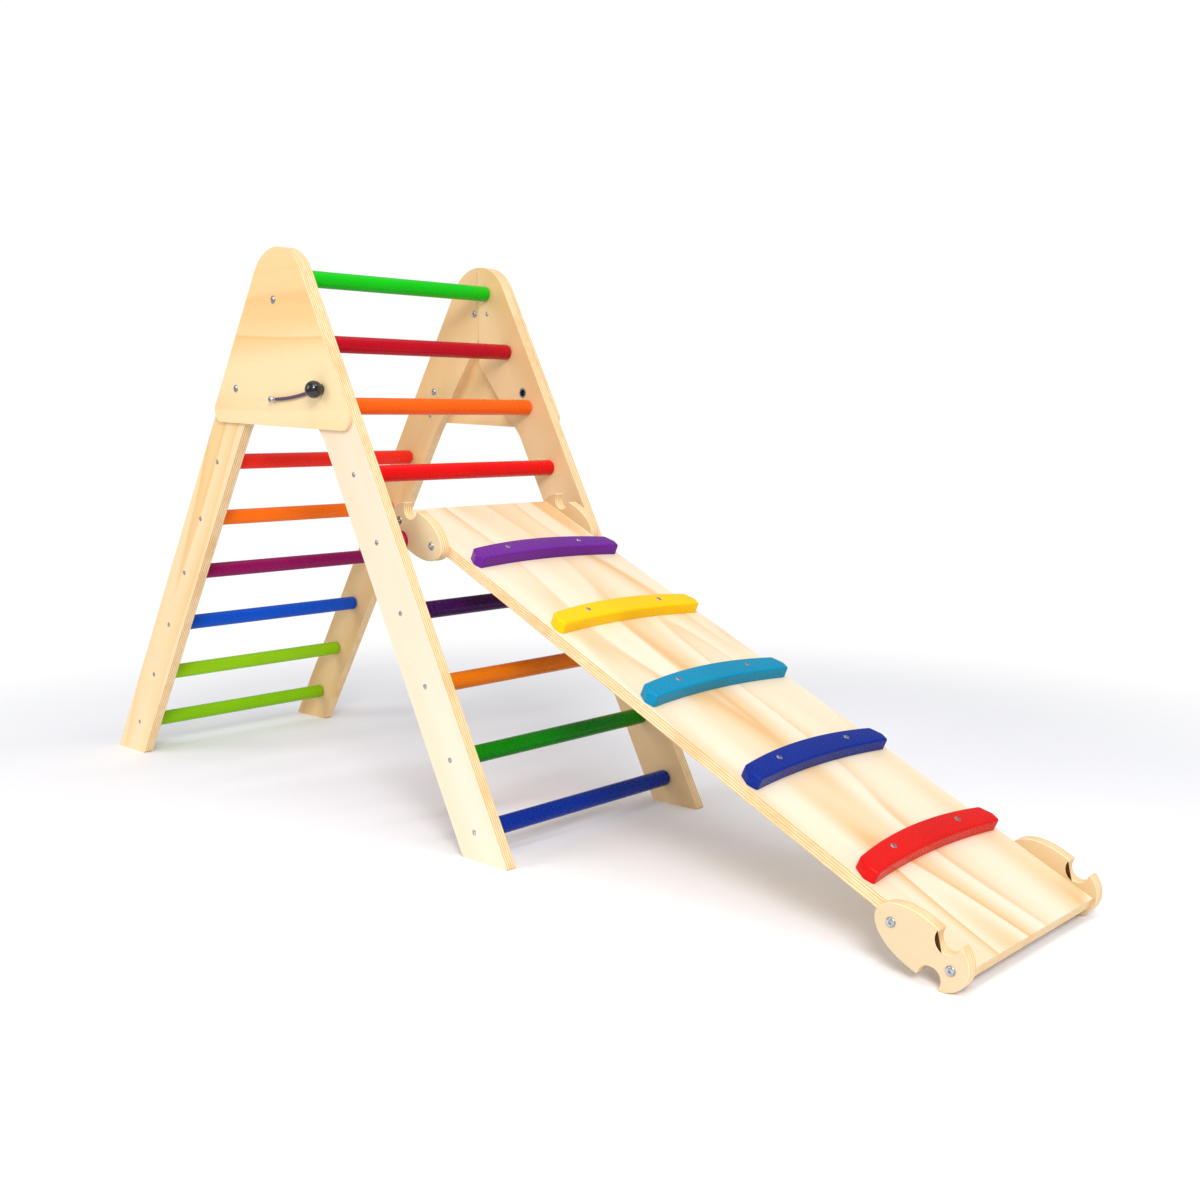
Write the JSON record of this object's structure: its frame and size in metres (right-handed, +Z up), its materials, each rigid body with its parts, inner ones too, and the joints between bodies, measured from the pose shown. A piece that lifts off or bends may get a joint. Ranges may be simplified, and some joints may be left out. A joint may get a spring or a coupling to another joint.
{
  "type": "toddler slide",
  "caption": "Foldable climbing triangle for toddlers: two rung ladders joined at the top by plywood gussets, with a cleated ramp hooked over a front rung.",
  "frame": {"origin": "on the floor, under the middle of the object's length and width", "axes": "+X along the length, from the rear ladder's feet to the ramp's low end; +Y across the rungs, to the far side seen with the ramp's low end on the right; +Z up"},
  "size_m": [1.9234, 0.5286, 0.9528],
  "materials": {
    "plywood": "clear satin lacquer over pine-faced plywood",
    "fittings": "zinc-plated steel",
    "knob": "black gloss",
    "cord": "braided cord",
    "paint_blue": "gloss paint",
    "paint_green": "gloss paint",
    "paint_amber": "gloss paint",
    "paint_violet": "gloss paint",
    "paint_maroon": "gloss paint",
    "paint_red": "gloss paint",
    "paint_orange": "gloss paint",
    "paint_crimson": "gloss paint",
    "paint_bright_green": "gloss paint",
    "paint_lime": "gloss paint",
    "paint_plum": "gloss paint",
    "cleat_red": "gloss paint",
    "cleat_blue": "gloss paint",
    "cleat_cyan": "gloss paint",
    "cleat_yellow": "gloss paint",
    "cleat_purple": "gloss paint"
  },
  "bodies": {
    "front_ladder": {"front_rail_near": "plywood", "front_rail_far": "plywood", "front_rung_1": "paint_blue", "front_rung_2": "paint_green", "front_rung_3": "paint_amber", "front_rung_4": "paint_violet", "front_rung_5": "paint_maroon", "front_rung_6": "paint_red", "front_rung_7": "paint_orange", "front_rung_8": "paint_crimson", "front_rung_9": "paint_bright_green", "pivot_stud_near": "fittings", "pin_bush_near": "fittings", "pivot_stud_far": "fittings", "pin_bush_far": "fittings"},
    "rear_ladder": {"rear_rail_near": "plywood", "rear_rail_far": "plywood", "rear_rung_1": "paint_lime", "rear_rung_2": "paint_lime", "rear_rung_3": "paint_blue", "rear_rung_4": "paint_plum", "rear_rung_5": "paint_orange", "rear_rung_6": "paint_red", "gusset_near": "plywood", "gusset_bolt_upper_near": "fittings", "gusset_nut_upper_near": "fittings", "gusset_bolt_lower_near": "fittings", "gusset_nut_lower_near": "fittings", "lanyard_screw_near": "fittings", "lanyard_near": "cord", "gusset_far": "plywood", "gusset_bolt_upper_far": "fittings", "gusset_nut_upper_far": "fittings", "gusset_bolt_lower_far": "fittings", "gusset_nut_lower_far": "fittings", "lanyard_screw_far": "fittings", "lanyard_far": "cord"},
    "ramp": {"ramp_board": "plywood", "bracket_upper_near": "plywood", "bracket_screw_upper_near_1": "fittings", "bracket_screw_upper_near_2": "fittings", "bracket_upper_far": "plywood", "bracket_screw_upper_far_1": "fittings", "bracket_screw_upper_far_2": "fittings", "bracket_lower_near": "plywood", "bracket_screw_lower_near_1": "fittings", "bracket_screw_lower_near_2": "fittings", "bracket_lower_far": "plywood", "bracket_screw_lower_far_1": "fittings", "bracket_screw_lower_far_2": "fittings", "cleat_red": "cleat_red", "cleat_blue": "cleat_blue", "cleat_cyan": "cleat_cyan", "cleat_yellow": "cleat_yellow", "cleat_purple": "cleat_purple"},
    "pull_pin_near": {"lock_pin_near": "fittings", "lock_knob_near": "knob"},
    "pull_pin_far": {"lock_pin_far": "fittings", "lock_knob_far": "knob"}
  },
  "joints": [
    {"name": "fold", "type": "hinge", "parent": "front_ladder", "child": "rear_ladder", "pos_m": [-0.2221, 0, 0.7912], "axis": [0, -1, 0], "range_deg": [0, 58]},
    {"name": "ramp_tilt", "type": "hinge", "parent": "front_ladder", "child": "ramp", "pos_m": [-0.0558, 0, 0.4719], "axis": [0, -1, 0], "range_deg": [0, 40]},
    {"name": "pull_near", "type": "slide", "parent": "rear_ladder", "child": "pull_pin_near", "axis": [0, -1, 0], "range_m": [0, 0.04]},
    {"name": "pull_far", "type": "slide", "parent": "rear_ladder", "child": "pull_pin_far", "axis": [0, 1, 0], "range_m": [0, 0.04]}
  ]
}
